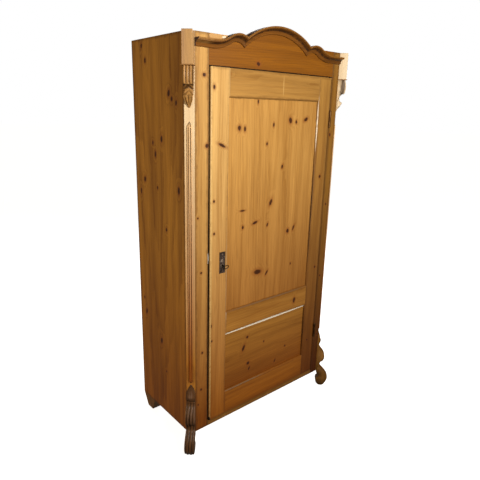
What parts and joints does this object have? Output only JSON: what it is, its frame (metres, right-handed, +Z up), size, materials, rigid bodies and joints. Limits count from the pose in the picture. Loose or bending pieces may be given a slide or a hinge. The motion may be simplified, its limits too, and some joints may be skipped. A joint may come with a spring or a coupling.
{
  "type": "armoire",
  "caption": "One-door pine armoire: canted case on scroll feet, framed and panelled door with lock and key, arched cornice, hat shelf and clothes rod inside.",
  "frame": {"origin": "on the floor, under the middle of the whole depth and width", "axes": "+X along the front from the lock side to the hinge side, +Y from front to back, +Z up"},
  "size_m": [1.0214, 0.4887, 1.907],
  "materials": {
    "side_pine": "old shellac on dark stained pine",
    "face_pine": "waxed honey-brown pine",
    "door_pine": "waxed honey-brown pine",
    "raw_pine": "unfinished planed pine, greyed with age",
    "moulding_pine": "shellacked moulding",
    "carved_pine": "waxed carving with dark recesses",
    "stained_feet": "dark walnut stain, waxed",
    "beech_rod": "turned beech, worn",
    "dark_bronze": "darkened cast bronze",
    "lock_iron": "worn wrought steel",
    "hinge_iron": "browned iron"
  },
  "bodies": {
    "case": {"back_plank_1": "raw_pine", "back_plank_2": "raw_pine", "back_plank_3": "raw_pine", "back_plank_4": "raw_pine", "block_ledge_left": "carved_pine", "block_ledge_right": "carved_pine", "bottom_rail": "face_pine", "case_screws": "lock_iron", "clothes_rod": "beech_rod", "console_left": "carved_pine", "console_right": "carved_pine", "corner_block_left": "carved_pine", "corner_block_right": "carved_pine", "corner_board_left": "face_pine", "corner_board_right": "face_pine", "cornice_moulding_arch": "moulding_pine", "cornice_moulding_left": "moulding_pine", "cornice_moulding_right": "moulding_pine", "door_stop_left": "raw_pine", "door_stop_top": "raw_pine", "face_stile_left": "face_pine", "face_stile_right": "face_pine", "floor_board": "raw_pine", "foot_front_left": "stained_feet", "foot_front_right": "stained_feet", "foot_rear_left": "stained_feet", "foot_rear_right": "stained_feet", "frieze_board": "face_pine", "hat_shelf": "raw_pine", "hinge_lower_case_leaf": "hinge_iron", "hinge_pins": "hinge_iron", "hinge_upper_case_leaf": "hinge_iron", "lancet_strip_left": "carved_pine", "lancet_strip_right": "carved_pine", "rod_socket_left": "beech_rod", "rod_socket_right": "beech_rod", "roof_board": "raw_pine", "shelf_cleat_left": "raw_pine", "shelf_cleat_right": "raw_pine", "side_left": "side_pine", "side_right": "side_pine", "strike_plate": "lock_iron"},
    "door": {"door_panel_lower": "door_pine", "door_panel_upper": "door_pine", "door_rail_bottom": "door_pine", "door_rail_middle": "door_pine", "door_rail_top": "door_pine", "door_screws": "lock_iron", "door_stile_left": "door_pine", "door_stile_right": "door_pine", "escutcheon": "dark_bronze", "escutcheon_nails": "dark_bronze", "hinge_lower_door_leaf": "hinge_iron", "hinge_upper_door_leaf": "hinge_iron", "lock_case": "lock_iron"},
    "key": {"key": "lock_iron"},
    "bolt": {"lock_bolt": "lock_iron"}
  },
  "joints": [
    {"name": "door_hinge", "type": "hinge", "parent": "case", "child": "door", "pos_m": [0.3795, -0.19979, 1], "axis": [0, 0, 1], "range_deg": [0, 110]},
    {"name": "key_turn", "type": "hinge", "parent": "door", "child": "key", "pos_m": [-0.285, -0.19379, 0.898], "axis": [0, -1, 0], "range_deg": [0, 180]},
    {"name": "bolt_slide", "type": "slide", "parent": "door", "child": "bolt", "axis": [-1, 0, 0], "range_m": [0, 0.012]}
  ],
  "couplings": [
    {"joint": "key_turn", "follows": "bolt_slide", "rad_per_m": 261.79}
  ]
}
